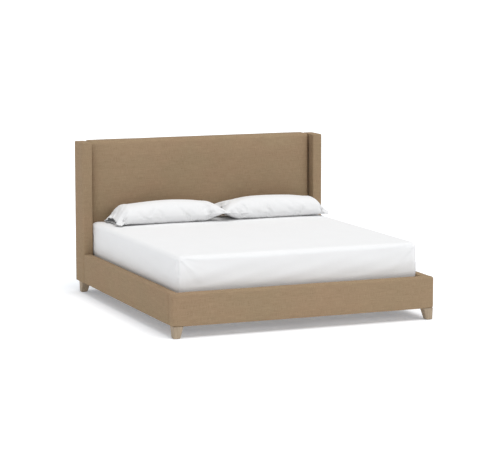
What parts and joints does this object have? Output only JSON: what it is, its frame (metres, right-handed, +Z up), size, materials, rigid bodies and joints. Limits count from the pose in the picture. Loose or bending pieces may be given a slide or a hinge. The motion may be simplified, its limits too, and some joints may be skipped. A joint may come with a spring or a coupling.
{
  "type": "upholstered bed",
  "caption": "King-size platform bed with a padded shelter headboard, low upholstered rails, tapered wooden feet, slats, mattress in a fitted sheet and pillows in cases.",
  "frame": {"origin": "on the floor, halfway across and halfway along the bed", "axes": "+X across the bed, to the right seen from its foot; +Y from the footboard to the headboard; +Z up"},
  "size_m": [2.104, 2.28, 1.234],
  "materials": {
    "woven_fabric": "matte",
    "foam": "matte",
    "back_cloth": "matte",
    "plywood": "satin",
    "pine": "satin",
    "oak": "satin",
    "black_steel": "satin",
    "zinc_steel": "satin",
    "nylon": "matte",
    "ticking": "matte",
    "white_cotton": "matte",
    "pillow_fill": "matte"
  },
  "bodies": {
    "frame": {"angle_brackets": "black_steel", "beam_hangers": "black_steel", "centre_beam": "pine", "centre_leg_foot": "pine", "centre_leg_head": "pine", "foot_front_left": "oak", "foot_front_right": "oak", "foot_glides": "nylon", "foot_rear_left": "oak", "foot_rear_right": "oak", "footboard_board": "plywood", "footboard_cover": "woven_fabric", "footboard_foam": "foam", "frame_bolts": "zinc_steel", "frame_screws": "zinc_steel", "hanger_bolts": "zinc_steel", "headboard_back_cloth": "back_cloth", "headboard_bottom_rail": "pine", "headboard_centre_stile": "pine", "headboard_cover": "woven_fabric", "headboard_foam": "foam", "headboard_plywood": "plywood", "headboard_stile_left": "pine", "headboard_stile_right": "pine", "headboard_top_rail": "pine", "side_rail_board_left": "plywood", "side_rail_board_right": "plywood", "side_rail_cover_left": "woven_fabric", "side_rail_cover_right": "woven_fabric", "side_rail_foam_left": "foam", "side_rail_foam_right": "foam", "slat_01": "pine", "slat_02": "pine", "slat_03": "pine", "slat_04": "pine", "slat_05": "pine", "slat_06": "pine", "slat_07": "pine", "slat_08": "pine", "slat_09": "pine", "slat_10": "pine", "slat_11": "pine", "slat_ledger_left": "pine", "slat_ledger_right": "pine", "slat_screws": "zinc_steel", "wing_board_left": "plywood", "wing_board_right": "plywood", "wing_cover_left": "woven_fabric", "wing_cover_right": "woven_fabric", "wing_foam_left": "foam", "wing_foam_right": "foam", "wing_straps": "black_steel"},
    "mattress": {"mattress": "ticking", "fitted_sheet": "white_cotton"},
    "pillow_left": {"pillow_left": "pillow_fill", "pillowcase_left": "white_cotton"},
    "pillow_right": {"pillow_right": "pillow_fill", "pillowcase_right": "white_cotton"},
    "glide_foot": {"levelling_glide_foot": "nylon"},
    "glide_head": {"levelling_glide_head": "nylon"}
  },
  "joints": [
    {"name": "mattress_lift", "type": "slide", "parent": "frame", "child": "mattress", "axis": [0, -0.1483, 0.9889], "range_m": [0, 0.35]},
    {"name": "pillow_left_lift", "type": "slide", "parent": "mattress", "child": "pillow_left", "axis": [0, -0.1736, 0.9848], "range_m": [0, 0.25]},
    {"name": "pillow_right_lift", "type": "slide", "parent": "mattress", "child": "pillow_right", "axis": [0, -0.1736, 0.9848], "range_m": [0, 0.25]},
    {"name": "glide_foot_height", "type": "slide", "parent": "frame", "child": "glide_foot", "axis": [0, 0, 1], "range_m": [-0.01, 0.018]},
    {"name": "glide_head_height", "type": "slide", "parent": "frame", "child": "glide_head", "axis": [0, 0, 1], "range_m": [-0.01, 0.018]}
  ]
}
